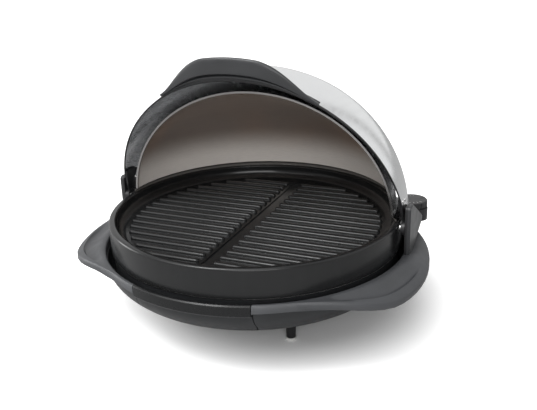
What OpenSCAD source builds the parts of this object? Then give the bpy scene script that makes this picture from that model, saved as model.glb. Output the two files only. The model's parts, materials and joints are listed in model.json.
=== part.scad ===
// Electric table grill with a ribbed cast pan under a lid of two telescoping dome shells.
// Millimetres, Z up, front towards -Y. The origin is on the table, on the pan's axis.

/* [Grill pan] */
// Height of the pan's rim above the table
rim_h = 148; // [140:1:165]
// Outer radius of the pan
pan_r = 200; // [190:1:210]
// Depth of the skirt below the rim
skirt_h = 38; // [37:0.5:41]
// Depth of the cooking floor below the rim
floor_d = 19; // [16:0.5:20]
// Thickness of the cooking floor
floor_t = 6; // [5.5:0.25:7]
// Width of the rim
rim_w = 9; // [8:0.5:11]
// Thickness of the skirt wall
skirt_t = 4.5; // [3.5:0.25:5.5]
// Radius where the floor curves up into the wall
pan_fillet = 13; // [9:0.5:13]

/* [Grill ribs] */
// Distance from one rib to the next
rib_pitch = 17.8; // [16:0.2:20]
// Width of a rib at its root
rib_w = 8.4; // [7:0.2:9.6]
// Height of a rib
rib_h = 4.2; // [3:0.2:5]
// Ribs on each side of the middle, from front to back
rib_rows = 9; // [7:1:9]
// Clear width of the grease channel between the rib fields
channel_w = 20; // [16:1:28]
// Width of the groove in the channel
groove_w = 11; // [8:0.5:14]
// Depth of the groove in the channel
groove_d = 1.5; // [1:0.1:1.8]
// Radius of the grease drain hole
drain_r = 5.5; // [4:0.5:6.5]
// Distance of the drain hole from the pan's axis
drain_y = 158; // [150:1:162]

/* [Heating element] */
// Radius of the element's loop
element_r = 125; // [105:1:135]
// Radius of the element's tube
tube_r = 3.5; // [3:0.1:4]
// Half distance between the element's two terminals
terminal_x = 10; // [8:0.5:11]
// Bend radius of the element's two ends
bend_r = 9; // [6:0.5:12]
// Radius of a terminal pin
pin_r = 2.3; // [1.8:0.1:2.6]

/* [Base] */
// Gap between the pan's skirt and the rim of the base
gutter_w = 7.5; // [5:0.5:10]
// Width of the plain rim of the base
ring_w = 5.5; // [4.5:0.5:8]
// Drop from the pan's rim to the top of the base rim
ring_drop = 40; // [39:0.5:44]
// Height of the base rim
ring_h = 10.5; // [9:0.5:13]
// How far the bowl is set in under the base rim
bowl_in = 4; // [3:0.25:5]
// Wall of the bowl
bowl_t = 3; // [2.5:0.25:4]
// Depth of the bowl below its edge
bowl_d = 58.5; // [54:0.5:62]
// Radius of the bowl's flat bottom
bowl_flat_r = 100; // [90:1:110]
// Depth of the heat reflector's dish
reflector_d = 12; // [10:0.5:14]
// Distance of the reflector's spacers from the pan's axis
spacer_pos = 60; // [50:1:66]

/* [Wing handles] */
// How far each wing stands out past the plain rim
wing_w = 38; // [28:1:46]
// Direction of the wing's widest point, in front of the side
wing_dir = 24; // [18:1:30]
// Depth of the finger dish
dish_d = 5; // [3:0.5:6]
// Thickness of the wing's skin
wing_t = 3.5; // [3:0.25:4.5]
// Depth of the wing's turned-down edge
wing_edge = 9.5; // [8:0.5:11]

/* [Legs] */
// Distance of each leg from the two middle planes
leg_x = 80; // [72:1:84]
// Radius of a leg at the bottom
leg_r = 6; // [5:0.25:7]
// Height of a rubber foot
foot_h = 4; // [3:0.5:6]

/* [Drip drawer] */
// Half width of the drawer front
drawer_x = 77.5; // [70:0.5:84]
// Height of the drawer's lower edge above the bowl's bottom
drawer_z = 21; // [18:1:26]
// Radius of the drawer's lower corners
drawer_corner = 14; // [8:1:18]
// Gap round the drawer front
drawer_gap = 1; // [0.5:0.1:1.2]
// Travel of the drawer
drawer_travel = 95; // [60:5:100]
// Depth of the drip tray
tray_d = 22; // [16:1:24]
// Sheet thickness of the drip tray
tray_t = 1.2; // [1:0.1:1.6]

/* [Lid hinge] */
// Hinge axis behind the pan's middle
hinge_y = 2; // [0:0.5:4]
// Hinge axis below the pan's rim
hinge_drop = 6; // [4:0.5:8]
// Radius of the hinge pins
hinge_pin_r = 3; // [2.5:0.25:4]
// Radial running clearance round the hinge pins
pin_gap = 0.05; // [0.03:0.01:0.08]
// Reach of the lid's arms from the hinge axis
arm_reach = 43; // [40:1:56]
// Thickness of a hinge post
post_t = 3; // [2.5:0.25:4]
// Height of the post above the hinge axis
post_top = 31; // [26:1:36]
// Reach of the post behind the hinge axis
post_back = 72; // [60:1:80]
// Drop of the post's rear tip below the hinge axis
post_droop = 10; // [6:1:12]
// Thickness of the post's outer cover
cover_t = 4; // [3:0.5:6]

/* [Front shell] */
// Gap between the pan's side and the front shell at the hinge axis
lid_gap = 8.4; // [7.8:0.1:9]
// Distance the closed shell's edge stands in from the pan's outer edge
lid_inset = 3.5; // [2:0.5:5]
// Sheet thickness of both shells
shell_t = 1.2; // [1:0.1:1.6]
// Angle of the open shell's front edge above the front
open_angle = 74; // [70:1:80]
// Sweep of the front shell about the hinge axis
shell_sweep = 98; // [92:1:100]
// Radius round the hinge axis that the sheet leaves free
shell_eye = 31; // [28:1:36]

/* [Rear shell] */
// Distance from the pan's outer edge to the rear shell
rear_in = 8; // [7.5:0.5:10]
// Height of the rear shell above the rim
rear_h = 160; // [150:1:166]
// Thickness of the rear shell's rolled hem
hem = 3; // [2.4:0.2:3.6]

/* [Lid handle] */
// Half angle of the shell's arc that the handle covers
grip_span = 32; // [26:1:36]
// Height of the grip above the shell
grip_h = 33; // [26:1:38]

/* [Thermostat controller] */
// Direction of the controller, behind the right side
ctrl_dir = 32; // [31:0.5:36]
// Gap between the pan's side and the dial
dial_gap = 4; // [2:0.5:10]
// Radius of the dial
dial_r = 22; // [19:0.5:23]
// Height of the dial
dial_h = 9; // [7:0.5:10]
// Half width of the controller's housing
ctrl_x = 21; // [20:0.5:24]
// Length of the controller's housing
ctrl_l = 40; // [36:1:46]
// Height of the controller's housing
ctrl_h = 17; // [16:0.5:17.5]
// Radius of the temperature probe
probe_r = 2.6; // [2:0.1:3]

/* [Hidden] */
$fn = 72;
gap = 0.3;
eps = 0.05;
arc_n = 6;
ring_ri = pan_r + gutter_w;
ring_ro = ring_ri + ring_w;
ring_bottom = -ring_drop - ring_h;
bowl_r = ring_ro - bowl_in;
bowl_bottom = ring_bottom - bowl_d;
seat_t = 1.2;
seat_ro = pan_r - skirt_t + 1;
rib_reach = pan_r - rim_w - pan_fillet - 4;
element_z = -floor_d - floor_t - tube_r + 2;
lid_a = pan_r + lid_gap;
lid_b = pan_r - lid_inset + hinge_y;
post_x = lid_a + 0.6;
arm_x = post_x - gap;
rear_r = pan_r - rear_in;
lid_n = 60;
dial_pos = pan_r + dial_gap + dial_r;
tray_top = -skirt_h - 20;
leg_top = bowl_bottom + 8;
tray_x = drawer_x - 7.3;
tray_front = -pan_r + 22;
tray_back = -86;
arm_t = 3.1;
arm_h = 11.3;
run_gap = 0.3;
inlet_d = 12;

// Points of a circular arc
function arc(cx, cy, r, a0, a1, n = arc_n) =
    [for (i = [0 : n]) let (a = a0 + (a1 - a0) * i / n) [cx + r * cos(a), cy + r * sin(a)]];
// Points of an elliptical arc
function oval(cx, cy, rx, ry, a0, a1, n) =
    [for (i = [0 : n]) let (a = a0 + (a1 - a0) * i / n) [cx + rx * cos(a), cy + ry * sin(a)]];
// Smooth step from 0 at a to 1 at b
function ease(x, a, b) = let (u = min(1, max(0, (x - a) / (b - a)))) u * u * (3 - 2 * u);
function mix(a, b, u) = a + (b - a) * u;

// Solid through a row of closed rings that all have the same number of points. The rings'
// first half runs out along one face and the second half back along the other.
function ring_cap(n, flip) = [for (j = [0 : floor((n - 1) / 2)])
    let (a = j, b = j + 1, c = n - j - 1, d = (n - j) % n)
    each [for (tri = [[a, b, c], [a, c, d]])
        if (tri[0] != tri[1] && tri[1] != tri[2] && tri[2] != tri[0])
            flip ? [tri[2], tri[1], tri[0]] : tri]];
module skin(rings, flat_caps = true) {
    n = len(rings[0]);
    m = len(rings);
    last = (m - 1) * n;
    points = [for (ring = rings) each ring];
    sides = [for (i = [0 : m - 2], j = [0 : n - 1])
        let (a = i * n + j, b = i * n + (j + 1) % n) each [[a, b, b + n], [a, b + n, a + n]]];
    caps = flat_caps
        ? [[for (j = [n - 1 : -1 : 0]) j], [for (j = [0 : n - 1]) last + j]]
        : concat(ring_cap(n, true), [for (tri = ring_cap(n, false)) [for (v = tri) v + last]]);
    polyhedron(points, concat(sides, caps));
}
module at_rim() {
    translate([0, 0, rim_h]) children();
}
module at_hinge() {
    translate([0, hinge_y, rim_h - hinge_drop]) children();
}
// Solid of revolution about the hinge axis; the profile is [distance from axis, x]
module about_hinge(from, sweep) {
    at_hinge() rotate([0, 90, 0]) rotate([0, 0, 270 - from - sweep])
        rotate_extrude(angle = sweep) children();
}
module along_x(x, y, z, r, l) {
    translate([x, y, z]) rotate([0, 90, 0]) cylinder(r = r, h = l);
}
// Places children with +X pointing out of the pan towards the controller
module at_controller() {
    at_rim() rotate([0, 0, ctrl_dir]) children();
}
module both_sides() {
    children();
    mirror([1, 0, 0]) children();
}
module front_and_back() {
    children();
    mirror([0, 1, 0]) children();
}
module four_corners() {
    both_sides() front_and_back() children();
}

// Cast pan
module rib(len_x) {
    half = [[0, -eps], [rib_w / 2, -eps], [rib_w * 0.43, rib_h * 0.6], [rib_w * 0.32, rib_h * 0.87],
        [rib_w * 0.16, rib_h], [0, rib_h]];
    whole = concat(half, [for (i = [4 : -1 : 1]) [-half[i][0], half[i][1]]]);
    rotate([90, 0, 90]) linear_extrude(len_x) polygon(whole);
    rotate([0, 0, 90]) rotate_extrude(angle = 180, $fn = 24) polygon(half);
    translate([len_x, 0, 0]) rotate([0, 0, -90]) rotate_extrude(angle = 180, $fn = 24) polygon(half);
}
module rib_fields() {
    for (row = [0 : rib_rows - 1]) {
        y = (row + 0.5) * rib_pitch;
        x0 = channel_w / 2 + rib_w / 2;
        x1 = sqrt(rib_reach * rib_reach - y * y) - rib_w / 2;
        for (sy = [-y, y]) {
            translate([x0, sy, 0]) rib(x1 - x0);
            translate([-x1, sy, 0]) rib(x1 - x0);
        }
    }
}
module pan_profile() {
    ri = pan_r - rim_w;
    polygon(concat(
        [[0, -floor_d - floor_t], [pan_r - skirt_t - 4, -floor_d - floor_t],
            [pan_r - skirt_t, -floor_d - floor_t - 4], [pan_r - skirt_t, -skirt_h], [pan_r, -skirt_h]],
        arc(pan_r - 3.2, -3.2, 3.2, 0, 90),
        arc(ri + 2, -2, 2, 90, 180),
        arc(ri - pan_fillet, -floor_d + pan_fillet, pan_fillet, 0, -90, 10),
        [[0, -floor_d]]));
}
// Loop of the element; its two ends bend outwards to the controller in slightly wider sleeves
module element_path() {
    turn = asin((terminal_x + bend_r) / (element_r + bend_r));
    bend_x = (element_r + bend_r) * cos(turn);
    at_controller() translate([0, 0, element_z]) {
        rotate([0, 0, turn]) rotate_extrude(angle = 360 - 2 * turn) translate([element_r, 0])
            circle(r = tube_r);
        front_and_back() {
            translate([bend_x, terminal_x + bend_r, 0]) rotate([0, 0, 177 + turn])
                rotate_extrude(angle = 93 - turn) translate([bend_r, 0]) circle(r = tube_r + 0.2);
            along_x(bend_x - 1, terminal_x, 0, tube_r + 0.3, pan_r + 2 - bend_x);
        }
    }
}
// Channel cast under the floor for the element's loop, its two ends and the probe
module element_channel() {
    w = tube_r + 0.3;
    half = terminal_x + w + 4;
    roof = -floor_d - floor_t + 2.5;
    at_rim() rotate_extrude($fn = 120) translate([element_r - w, roof - 10]) square([2 * w, 10]);
    at_controller() {
        translate([element_r - w, -half, roof - 10])
            cube([pan_r - skirt_t - 8 - element_r + w, 2 * half, 10]);
        for (y = [-terminal_x, terminal_x])
            along_x(pan_r - skirt_t - 10, y, element_z, tube_r + 0.6, skirt_t + 12);
        along_x(pan_r - skirt_t - 10, 0, element_z, probe_r + 0.6, skirt_t + 12);
    }
}
module grill_pan() {
    color([0.17, 0.17, 0.18]) difference() {
        pan_body();
        element_channel();
    }
}
module pan_body() {
    at_rim() difference() {
        union() {
            rotate_extrude($fn = 120) pan_profile();
            translate([0, 0, -floor_d]) rib_fields();
            translate([0, -drain_y, -floor_d - floor_t - 6]) cylinder(r = drain_r + 2.5, h = 7);
        }
        translate([-groove_w / 2, -drain_y, -floor_d - groove_d])
            cube([groove_w, drain_y * 2 - 4, groove_d + 1]);
        translate([0, -drain_y, -skirt_h]) cylinder(r = drain_r, h = skirt_h);
    }
}
module heating_element() {
    color([0.30, 0.29, 0.28]) {
        element_path();
        at_controller() for (s = [-1, 1])
            along_x(pan_r + 0.5, s * terminal_x, element_z, pin_r, 9);
    }
}
module element_clips() {
    color([0.62, 0.62, 0.60]) at_rim() for (a = [ctrl_dir + 75, ctrl_dir + 180, ctrl_dir + 285])
        rotate([0, 0, a]) translate([element_r, 0, element_z - tube_r - 1.4]) difference() {
            union() {
                translate([-14, -6, 0]) cube([28, 12, 1.2]);
                for (x = [-14, 12.8]) translate([x, -6, 0]) cube([1.2, 12, 2 * tube_r - 2 + 1.4 - 0.05]);
            }
            for (x = [-9, 9]) translate([x, 0, -1]) cylinder(r = 1.8, h = 4, $fn = 24);
        }
}
module terminal_guard() {
    w = ctrl_x + 1.6;
    h = ctrl_h / 2;
    color([0.66, 0.66, 0.65]) difference() {
        at_controller() translate([pan_r - 3, -w, element_z - h]) cube([8.5, 2 * w, 2 * h]);
        at_controller() translate([pan_r - 4, -w + 1.2, element_z - h + 1.2])
            cube([12, 2 * w - 2.4, 2 * h - 2.4]);
        translate([0, 0, rim_h - 60]) cylinder(r = pan_r + 0.05, h = 60, $fn = 120);
    }
}

// Base
module heat_reflector() {
    z = -skirt_h;
    deep = reflector_d;
    color([0.70, 0.70, 0.69]) at_rim() difference() {
        rotate_extrude($fn = 120) polygon([[0, z - deep], [seat_ro - 24, z - deep],
            [seat_ro - 10, z - seat_t], [seat_ro - 10, z], [seat_ro + 3, z], [seat_ro + 3, z - seat_t],
            [seat_ro - 9, z - seat_t], [seat_ro - 23, z - deep - seat_t], [0, z - deep - seat_t]]);
        translate([0, -drain_y, z - deep - 3]) cylinder(r = drain_r + 6, h = 6);
    }
}
module at_spacers() {
    at_rim() for (a = [60, 180, 300]) rotate([0, 0, a]) translate([spacer_pos, 0, bowl_bottom]) children();
}
module reflector_spacers() {
    top = -skirt_h - reflector_d - seat_t - bowl_bottom;
    color([0.16, 0.16, 0.17]) at_spacers() translate([0, 0, bowl_t]) cylinder(r = 5, h = top - bowl_t);
}
module spacer_screws() {
    color([0.75, 0.75, 0.74]) at_spacers() translate([0, 0, -1.8]) cylinder(r = 4, h = 1.8, $fn = 32);
}
module bowl_profile() {
    polygon(concat(
        [[0, bowl_bottom]],
        oval(bowl_flat_r, ring_bottom, bowl_r - bowl_flat_r, bowl_d, -90, 0, 20),
        oval(bowl_flat_r, ring_bottom, bowl_r - bowl_t - bowl_flat_r, bowl_d - bowl_t, 0, -90, 20),
        [[0, bowl_bottom + bowl_t]]));
}
// Solid that the bowl's wall bounds, drawn in by inset
module bowl_inside(inset) {
    rotate_extrude($fn = 120) polygon(concat([[0, ring_bottom], [0, bowl_bottom + inset]],
        oval(bowl_flat_r, ring_bottom, bowl_r - inset - bowl_flat_r, bowl_d - inset, -90, 0, 20)));
}
// Height of the bowl's inner face at distance r from the axis
function bowl_floor(r) = ring_bottom - (bowl_d - bowl_t)
    * sqrt(1 - pow((r - bowl_flat_r) / (bowl_r - bowl_t - bowl_flat_r), 2));
module drawer_outline(grow) {
    x = drawer_x + grow;
    z = bowl_bottom + drawer_z - grow;
    c = drawer_corner;
    polygon(concat(arc(c - x, z + c, c, 180, 270), arc(x - c, z + c, c, 270, 360), [[x, 0], [-x, 0]]));
}
module front_block(grow) {
    rotate([90, 0, 0]) linear_extrude(ring_ro + 20) drawer_outline(grow);
}
// Legs with a gusset towards the middle, cut to sit against the bowl
module legs() {
    bottom = foot_h - rim_h;
    color([0.20, 0.21, 0.22]) at_rim() difference() {
        four_corners() {
            translate([leg_x, leg_x, bottom]) cylinder(r1 = leg_r, r2 = leg_r + 2, h = leg_top - bottom);
            translate([leg_x, leg_x, 0]) rotate([90, 0, 225]) translate([0, 0, -1.5]) linear_extrude(3)
                polygon([[0, leg_top], [26, leg_top], [leg_r - 1, bottom + 8], [0, bottom + 8]]);
        }
        bowl_inside(0);
    }
}
module base_bowl() {
    wall_ri = seat_ro - 4;
    wall_top = -skirt_h - seat_t;
    wall_low = bowl_floor(seat_ro) - bowl_t / 2;
    color([0.23, 0.24, 0.25]) at_rim() difference() {
        union() {
            rotate_extrude($fn = 120) bowl_profile();
            rotate_extrude($fn = 120) translate([wall_ri, wall_low])
                square([seat_ro - wall_ri, wall_top - wall_low]);
        }
        difference() {
            front_block(drawer_gap);
            translate([0, 0, tray_top + 3]) cylinder(r = seat_ro + eps, h = rim_h, $fn = 120);
        }
        for (a = [15 : 30 : 345]) rotate([0, 0, a]) translate([48, -2.5, bowl_bottom - 1])
            cube([34, 5, bowl_t + 2]);
    }
}
function wing_width(a) = wing_w * ease(a, -58, -wing_dir) * (1 - ease(a, -wing_dir, 50));
function droop(r) = 0.0095 * pow(max(0, r - ring_ro - 3), 2);
function side_angle(t) = t <= 90 ? t : 180 - t;
// Section of the base rim at a direction: [radius, height] points, inside bottom first
function rim_section(a) = let (
        w = wing_width(a),
        ro = ring_ro + w,
        q = ease(w, 3, 16),
        top = -ring_drop,
        dish = dish_d * ease(a, -47, -40) * (1 - ease(a, -14, -5)) * ease(w, 10, 20),
        fr = [0, 0.16, 0.26, 0.36, 0.5, 0.64, 0.74, 0.8, 0.9, 1],
        sink = [0, 0, 0.35, 0.8, 1, 1, 0.75, 0, 0, 0],
        r0 = ring_ri + 1.5,
        r1 = ro - 1.5,
        edge_top = top - droop(r1))
    concat(
        [[ring_ri, ring_bottom], [ring_ri, top - 1.5]],
        [for (i = [0 : 9]) let (r = mix(r0, r1, fr[i])) [r, top - droop(r) - dish * sink[i]]],
        [[ro, edge_top - 1.5], [ro, mix(ring_bottom, edge_top - wing_edge + 1.5, q)],
            [ro - 0.8, mix(ring_bottom, edge_top - wing_edge, q)],
            [mix(ro - 1.8, ro - 3.2, q), mix(ring_bottom, edge_top - wing_edge, q)],
            [mix(ro - 2, ro - 3.6, q), mix(ring_bottom, edge_top - wing_t, q)]],
        [for (i = [7, 5, 3, 1]) let (r = mix(r0 + 0.6, ro - mix(2.3, 4, q), fr[i]))
            [r, mix(ring_bottom, top - droop(r) - dish * sink[i] - wing_t, q)]],
        [[mix(r0 + 0.3, r0 + 2, q), ring_bottom]]);
module base_rim() {
    cut = drawer_x + drawer_gap;
    first = -acos(cut / ring_ro) + 3;
    steps = 88;
    rings = concat(
        [[for (p = rim_section(first - 3)) [cut, -sqrt(p[0] * p[0] - cut * cut), p[1]]]],
        [for (i = [0 : steps]) let (t = mix(first, 180 - first, i / steps))
            [for (p = rim_section(side_angle(t))) [p[0] * cos(t), p[0] * sin(t), p[1]]]],
        [[for (p = rim_section(first - 3)) [-cut, -sqrt(p[0] * p[0] - cut * cut), p[1]]]]);
    color([0.23, 0.24, 0.25]) at_rim() skin(rings, false);
}
module foot_pads() {
    color([0.10, 0.10, 0.10]) four_corners() translate([leg_x, leg_x, 0]) {
        cylinder(r1 = leg_r + 0.4, r2 = leg_r + 1.2, h = foot_h);
    }
}

// Drip drawer
module drawer_rails() {
    x = tray_x + 0.3;
    w = arm_t + 0.3 + 2 * run_gap + 2.4;
    low = tray_top - arm_h - run_gap - 2.4;
    front = tray_front + 10;
    color([0.16, 0.16, 0.17]) at_rim() both_sides() {
        translate([x, front, low]) cube([w, drawer_travel + 21, 2.4]);
        translate([x + w - 2.4, front, low]) cube([2.4, drawer_travel + 21, arm_h + 2.4]);
        intersection() {
            for (y = [front + 24, front + drawer_travel + 11]) translate([x + w - 3, y, bowl_bottom])
                cube([3, 10, low - bowl_bottom + 1]);
            bowl_inside(bowl_t);
        }
    }
}
module drawer_front() {
    lip = ring_bottom - 3;
    color([0.23, 0.24, 0.25]) at_rim() {
        intersection() {
            rotate([0, 0, -130]) rotate_extrude(angle = 80, $fn = 120) polygon(concat(
                [[ring_ri, lip + 3], [ring_ri, -ring_drop - 1.5], [ring_ri + 1.5, -ring_drop],
                    [ring_ro - 1.5, -ring_drop], [ring_ro, -ring_drop - 1.5], [ring_ro, lip],
                    [ring_ro - 1.4, lip - 2], [bowl_r - 0.4, lip - 2.6]],
                oval(bowl_flat_r, ring_bottom, bowl_r - bowl_flat_r, bowl_d, -7, -60, 12),
                oval(bowl_flat_r, ring_bottom, bowl_r - bowl_t - bowl_flat_r, bowl_d - bowl_t,
                    -60, -3, 12)));
            front_block(0);
        }
        intersection() {
            both_sides() translate([tray_x + 0.3 + run_gap, -pan_r, tray_top - arm_h])
                cube([arm_t, pan_r + tray_back - 2, arm_h]);
            bowl_inside(1.2);
        }
    }
}
// Side view of the tray, drawn in by g and up by lift at its open top
function tray_side(g, lift) = [[tray_front + g, tray_top + lift],
    [tray_front + tray_d * 0.8 + g * 0.7, tray_top - tray_d + g],
    [tray_back - 5 - g, tray_top - tray_d + g], [tray_back - g, tray_top + lift]];
module drip_tray() {
    lip_x = tray_x + arm_t;
    color([0.55, 0.55, 0.55]) at_rim() difference() {
        union() {
            translate([-tray_x, 0, 0]) rotate([90, 0, 90]) linear_extrude(2 * tray_x)
                polygon(tray_side(0, 0));
            translate([-lip_x, tray_front, tray_top]) cube([2 * lip_x, tray_back - tray_front, tray_t]);
        }
        translate([-tray_x + tray_t, 0, 0]) rotate([90, 0, 90]) linear_extrude(2 * (tray_x - tray_t))
            polygon(tray_side(tray_t, 3));
    }
}

// Lid shells
module rear_shell() {
    step = 7;
    a0 = asin(step / rear_h);
    t = shell_t;
    rb = pan_r - 3.5;
    color([0.66, 0.62, 0.58]) at_rim() {
        translate([0, hinge_y, 0]) rotate_extrude(angle = 180, $fn = 120) polygon(concat(
            [[rb + 2, 0], [rb + 2, t], [rb, t], [rb, 4]],
            oval(0, 0, rear_r, rear_h, a0, 90, 36),
            oval(0, 0, rear_r - t, rear_h - t, 90, a0, 36),
            [[rb - t, 4 - t], [rb - t, 0]]));
        translate([0, hinge_y + 1, 0]) rotate([90, 0, 0]) linear_extrude(hem) polygon(concat(
            oval(0, 0, rear_r + 0.8, rear_h + 0.8, a0, 180 - a0, 60),
            oval(0, 0, rear_r - t - 0.8, rear_h - t - 0.8, 180 - a0, a0, 60)));
    }
}
module rear_shell_brackets() {
    color([0.12, 0.12, 0.12]) at_rim() both_sides() difference() {
        translate([pan_r - 3.3, hinge_y + 13, shell_t]) cube([post_x - pan_r + 3.3, 15, 1.6]);
        translate([pan_r + 4.5, hinge_y + 20.5, 0]) cylinder(r = 1.6, h = 5, $fn = 24);
    }
}
module bracket_screws() {
    color([0.85, 0.85, 0.84]) at_rim() both_sides()
        translate([pan_r + 4.5, hinge_y + 20.5, shell_t + 1.6]) cylinder(r = 3, h = 1.4, $fn = 24);
}
// Band of sheet between two ovals; n0 and n1 are offsets outwards, eye is the free radius
module shell_band(n0, n1, eye) {
    a0 = asin(eye / lid_b);
    polygon([for (p = concat(oval(0, 0, lid_a + n1, lid_b + n1, a0, 180 - a0, lid_n),
        oval(0, 0, lid_a + n0, lid_b + n0, 180 - a0, a0, lid_n))) [p[1], p[0]]]);
}
module front_shell() {
    color([0.83, 0.84, 0.85]) difference() {
        about_hinge(open_angle + 1, shell_sweep - 1) shell_band(-shell_t, 0, shell_eye);
        for (t = [-16, 0, 16]) on_arc(t, open_angle + 4) translate([0, 0, -6])
            cylinder(r = 1.7, h = 12, $fn = 24);
    }
}
module shell_edge_trim() {
    color([0.10, 0.10, 0.10]) about_hinge(open_angle, 1) shell_band(-shell_t - 0.4, 0.3, shell_eye);
}
// Places children on the front shell's outer face with +Z pointing out of it
module on_arc(t, from_front) {
    at_hinge() rotate([90 - from_front, 0, 0]) translate([lid_a * sin(t), 0, lid_b * cos(t)])
        rotate([0, atan2(lid_b * sin(t), lid_a * cos(t)), 0]) children();
}
// Section of the handle: [out of the shell, forwards past its edge, share of the grip's scale]
grip_points = [
    [0.4, -12, 0], [1.6, -13, 0], [4.5, -11.5, 0.3], [11, -7, 1], [22, -2, 1], [30.5, 1.6, 1],
    [32.4, 3.6, 1], [33, 5.8, 1], [32, 7.8, 1], [29.5, 8.6, 1], [22, 6.6, 1], [15, 4.4, 1],
    [12.4, 2.6, 1], [11, 2.4, 1], [9.8, 3.8, 1], [9, 6.2, 1], [7.4, 7.2, 1], [5.8, 6.2, 1],
    [4.9, 2.6, 1], [3.4, 1.2, 0.3], [0.4, 1.2, 0]];
function grip_section(k) = [for (p = grip_points)
    [mix(p[0], 0.4 + (p[0] - 0.4) * k * grip_h / 33, p[2] > 0 ? 1 : 0.5),
        p[1] > 1.2 ? 1.2 + (p[1] - 1.2) * k : p[1] * (0.5 + 0.5 * k)]];
module lid_handle() {
    steps = 36;
    rings = [for (i = [0 : steps]) let (
            u = -1 + 2 * i / steps,
            t = grip_span * u,
            k = 0.16 + 0.84 * (1 - ease(abs(u), 0.28, 1)),
            nx = lid_b * sin(t),
            nz = lid_a * cos(t),
            nl = norm([nx, nz]))
        [for (p = grip_section(k))
            [lid_a * sin(t) + p[0] * nx / nl, -p[1], lid_b * cos(t) + p[0] * nz / nl]]];
    color([0.20, 0.21, 0.22]) at_hinge() rotate([90 - open_angle, 0, 0]) skin(rings);
}
module handle_screws() {
    color([0.8, 0.8, 0.8]) for (t = [-16, 0, 16]) on_arc(t, open_angle + 4)
        translate([0, 0, -shell_t - 1.6]) cylinder(r = 3.4, h = 1.5, $fn = 24);
}

// Hinges; the right one is drawn and the left one mirrored
module arm() {
    hub = 9;
    t0 = asin(19 / lid_b);
    t1 = asin(arm_reach / lid_b);
    in0 = shell_t + 0.15;
    in1 = in0 + 2.6;
    difference() {
        union() {
            about_hinge(open_angle + 1, 40) polygon([for (p = concat(
                oval(0, 0, lid_a - in0, lid_b - in0, t0, t1, 6),
                oval(0, 0, lid_a - in1, lid_b - in1, t1, t0, 6))) [p[1], p[0]]]);
            about_hinge(open_angle + 1, 40) polygon([[hub - 2, arm_x - 4], [20, arm_x - 4.4],
                [20, lid_a * cos(t0) - in0 - 0.6], [hub - 2, arm_x - 1]]);
            at_hinge() along_x(arm_x - 5, 0, 0, hub, 5);
        }
        at_hinge() along_x(arm_x - 20, 0, 0, hinge_pin_r + pin_gap, 40);
    }
}
module hinge_arm_right() {
    color([0.11, 0.11, 0.12]) arm();
}
module hinge_arm_left() {
    color([0.11, 0.11, 0.12]) mirror([1, 0, 0]) arm();
}
module arm_rivets() {
    color([0.85, 0.85, 0.85]) both_sides() for (a = [12, 30]) {
        s = (shell_eye + arm_reach) / 2;
        x = lid_a * sqrt(1 - pow(s / lid_b, 2));
        at_hinge() rotate([90 - open_angle - a, 0, 0])
            translate([x + 0.2, 0, s]) rotate([0, atan2(x / pow(lid_a, 2), s / pow(lid_b, 2)), 0])
                cylinder(r = 2.6, h = 1.2, $fn = 24);
    }
}
module hinge_pins() {
    color([0.85, 0.85, 0.85]) at_hinge() both_sides() {
        along_x(arm_x - 6, 0, 0, hinge_pin_r, 6 + gap + post_t);
        along_x(arm_x - 7.4, 0, 0, hinge_pin_r + 2.2, 2.1);
    }
}
module post_outline(inset) {
    foot = -ring_drop + hinge_drop;
    front = -7;
    round_r = 5;
    tip_r = 6;
    polygon(concat(
        [[front + inset, foot]],
        arc(front + round_r, post_top - round_r, round_r - inset, 180, 90),
        arc(front + 14, post_top - round_r, round_r - inset, 90, 60),
        arc(post_back - tip_r, -post_droop, tip_r - inset, 60, -74),
        [[16 - inset, foot]]));
}
module post() {
    difference() {
        at_hinge() translate([post_x, 0, 0]) rotate([90, 0, 90]) linear_extrude(post_t) post_outline(0);
        at_hinge() along_x(post_x - 1, 0, 0, hinge_pin_r + 0.02, post_t + 2);
    }
}
module post_cover() {
    at_hinge() translate([post_x + post_t, 0, 0]) rotate([90, 0, 90]) {
        linear_extrude(cover_t - 1) post_outline(0);
        translate([0, 0, cover_t - 1.01]) linear_extrude(1) post_outline(1);
    }
}
module hinge_post_right() {
    color([0.10, 0.10, 0.11]) post();
}
module hinge_post_left() {
    color([0.10, 0.10, 0.11]) mirror([1, 0, 0]) post();
}
module post_cover_right() {
    color([0.32, 0.33, 0.34]) post_cover();
}
module post_cover_left() {
    color([0.32, 0.33, 0.34]) mirror([1, 0, 0]) post_cover();
}
module post_screws() {
    color([0.85, 0.85, 0.85]) at_hinge() both_sides() for (p = [[20, -24], [6, -27]])
        along_x(post_x - 1.4, p[0], p[1], 2.6, 1.4);
}

// Thermostat controller
module controller_housing() {
    r0 = pan_r + 6;
    z0 = element_z - ctrl_h / 2;
    c = 14;
    color([0.14, 0.14, 0.15]) at_controller() difference() {
        union() {
            translate([r0, 0, z0]) linear_extrude(ctrl_h) polygon(concat(
                [[0, -ctrl_x - 1.6]], arc(ctrl_l - c, -ctrl_x - 1.6 + c, c, -90, 0),
                arc(ctrl_l - c, ctrl_x + 1.6 - c, c, 0, 90), [[0, ctrl_x + 1.6]]));
            translate([pan_r + 1.2, -ctrl_x + 0.2, z0 + 1.6]) cube([6, 2 * ctrl_x - 0.4, ctrl_h - 3.2]);
        }
        for (s = [-1, 1]) along_x(pan_r, s * terminal_x, element_z, tube_r + 0.8, 2.6);
        for (s = [-1, 1]) along_x(pan_r, s * terminal_x, element_z, pin_r + 0.15, 11);
        along_x(pan_r, 0, element_z, probe_r + 0.03, 14);
        translate([dial_pos, 0, z0 + ctrl_h - 5]) cylinder(r = 3.05, h = 6);
        translate([r0 + ctrl_l - inlet_d, -11, element_z - 6]) cube([inlet_d + 1, 22, 12]);
        translate([r0 + 6, -ctrl_x - 3, element_z + 2]) cube([6, 5, 3]);
    }
}
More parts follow.
